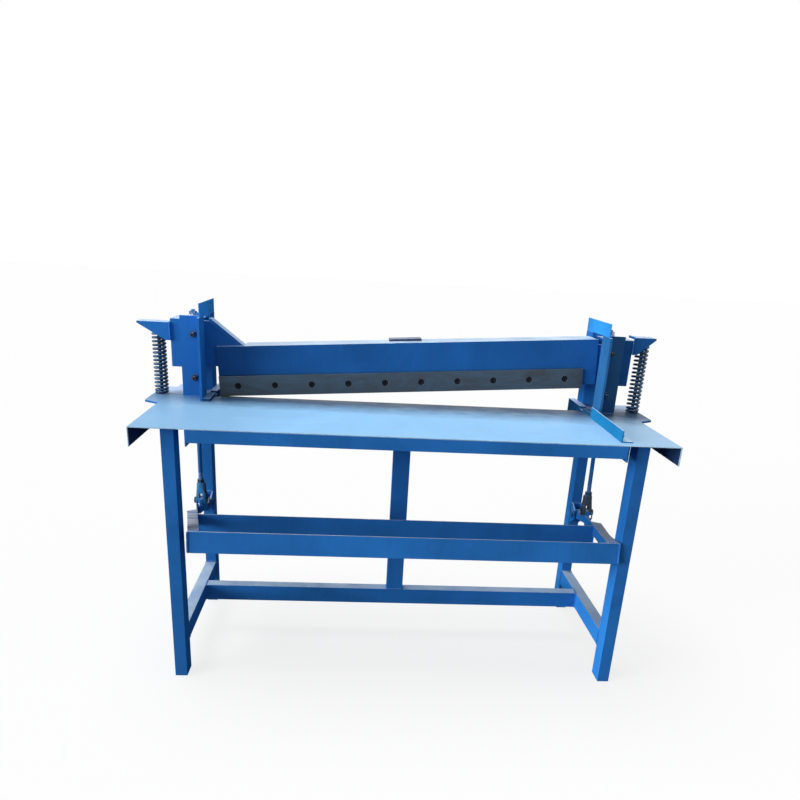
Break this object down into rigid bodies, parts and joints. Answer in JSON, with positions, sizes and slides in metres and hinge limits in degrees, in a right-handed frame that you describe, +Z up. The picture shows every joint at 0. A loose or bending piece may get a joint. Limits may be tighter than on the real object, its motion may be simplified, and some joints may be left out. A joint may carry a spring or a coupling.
{
  "type": "treadle guillotine shear",
  "caption": "Foot-operated guillotine shear for sheet metal: table on tube legs, raked upper blade on a sliding spring-lifted beam, pull rods and a swinging treadle frame.",
  "frame": {"origin": "on the floor, under the middle of the machine's bounding box", "axes": "+X to the operator's right along the blades, +Y away from the operator, +Z up"},
  "size_m": [1.8, 0.67, 1.183],
  "materials": {
    "blue_paint": "gloss enamel, lightly worn",
    "worn_blue_paint": "gloss enamel, scuffed on top by shoes",
    "table_blue_paint": "light blue enamel, scratched, darker near the blade",
    "blade_steel": "ground tool steel, darkened",
    "black_screws": "black oxide",
    "spring_steel": "dark painted spring steel",
    "bare_steel": "oiled turned steel"
  },
  "bodies": {
    "frame": {"leg_front_left": "blue_paint", "leg_front_right": "blue_paint", "leg_rear_left": "blue_paint", "leg_rear_right": "blue_paint", "side_rail_left": "blue_paint", "side_rail_right": "blue_paint", "lower_stretcher": "blue_paint", "centre_post": "blue_paint", "table_plate": "table_blue_paint", "front_apron": "blue_paint", "cross_rail_left": "blue_paint", "cross_rail_right": "blue_paint", "bed_bar": "blue_paint", "end_plate_left": "table_blue_paint", "end_plate_right": "table_blue_paint", "edge_angles": "table_blue_paint", "lower_blade": "blade_steel", "lower_blade_screws": "black_screws", "guide_front_left": "blue_paint", "guide_front_right": "blue_paint", "guide_rear_left": "blue_paint", "guide_rear_right": "blue_paint", "guide_cap_left": "blue_paint", "guide_cap_right": "blue_paint", "gib_left": "bare_steel", "gib_right": "bare_steel", "gib_bolts": "bare_steel", "spring_left": "spring_steel", "spring_right": "spring_steel", "pivot_bracket_left": "blue_paint", "pivot_bracket_right": "blue_paint", "pivot_pins": "bare_steel", "side_fence": "blue_paint", "fence_screws": "bare_steel"},
    "blade_beam": {"beam_angle": "blue_paint", "beam_riser_left": "blue_paint", "beam_riser_flange": "blue_paint", "beam_end_right": "blue_paint", "beam_crown_plate": "blue_paint", "slide_box_left": "blue_paint", "slide_box_right": "blue_paint", "upper_blade": "blade_steel", "upper_blade_screws": "black_screws", "spring_bracket_left": "blue_paint", "spring_bracket_right": "blue_paint", "spring_rod_left": "spring_steel", "spring_rod_right": "spring_steel"},
    "treadle": {"treadle_front_bar": "worn_blue_paint", "treadle_rear_bar": "worn_blue_paint", "treadle_arm_left": "worn_blue_paint", "treadle_arm_right": "worn_blue_paint", "treadle_lever_left": "blue_paint", "treadle_lever_right": "blue_paint", "clevis_pins": "bare_steel"},
    "rod_left": {"pull_rod_left": "blue_paint", "clevis_left": "blue_paint", "rod_nuts_left": "bare_steel"},
    "rod_right": {"pull_rod_right": "blue_paint", "clevis_right": "blue_paint", "rod_nuts_right": "bare_steel"}
  },
  "joints": [
    {"name": "beam_slide", "type": "slide", "parent": "frame", "child": "blade_beam", "axis": [0, 0, -1], "range_m": [0, 0.09], "stiffness_N_per_m": 20600, "springref_m": -0.06, "deforming": ["spring_left", "spring_right"]},
    {"name": "treadle_swing", "type": "hinge", "parent": "frame", "child": "treadle", "pos_m": [0.015, 0.215, 0.434], "axis": [1, 0, 0], "range_deg": [0, 48.3]},
    {"name": "rod_left_swing", "type": "hinge", "parent": "treadle", "child": "rod_left", "pos_m": [-0.708, 0.11463, 0.479], "axis": [1, 0, 0], "range_deg": [-48.3, 0]},
    {"name": "rod_right_swing", "type": "hinge", "parent": "treadle", "child": "rod_right", "pos_m": [0.738, 0.11463, 0.479], "axis": [1, 0, 0], "range_deg": [-48.3, 0]}
  ],
  "couplings": [
    {"joint": "treadle_swing", "follows": "beam_slide", "rad_per_m": 9.3666},
    {"joint": "rod_left_swing", "follows": "beam_slide", "rad_per_m": -9.3666},
    {"joint": "rod_right_swing", "follows": "beam_slide", "rad_per_m": -9.3666}
  ]
}
